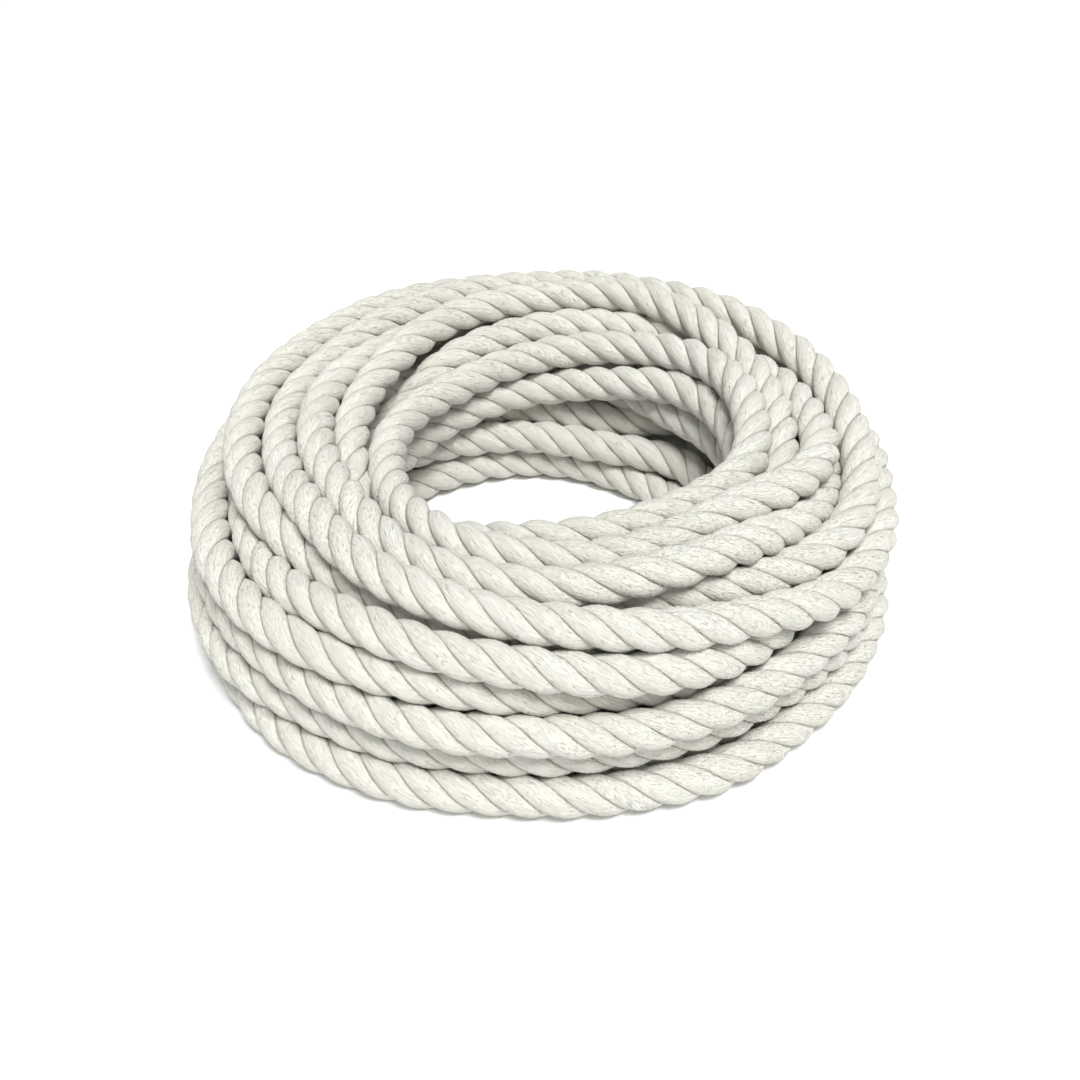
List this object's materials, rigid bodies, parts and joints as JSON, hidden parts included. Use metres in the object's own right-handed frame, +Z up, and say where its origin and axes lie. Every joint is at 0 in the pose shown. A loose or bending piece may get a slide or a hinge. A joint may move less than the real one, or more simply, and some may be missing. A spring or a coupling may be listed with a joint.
{
  "type": "coiled dock line",
  "caption": "Soft natural cotton three-strand dock line in a loose round hand coil lying flat, with whipped ends tucked out of sight.",
  "frame": {"origin": "middle of the coil, on the surface that it rests on", "axes": "+X to the right of the coil, +Y to its back, +Z up"},
  "size_m": [0.2396, 0.2396, 0.0678],
  "materials": {
    "rope": "soft undyed cotton, matte with a faint fuzz",
    "twine": "waxed flax twine, satin"
  },
  "bodies": {
    "root": {"lower_turns": "rope", "upper_turns": "rope", "outer_tail": "rope", "inner_tail": "rope", "outer_whipping": "twine", "inner_whipping": "twine"}
  },
  "joints": []
}
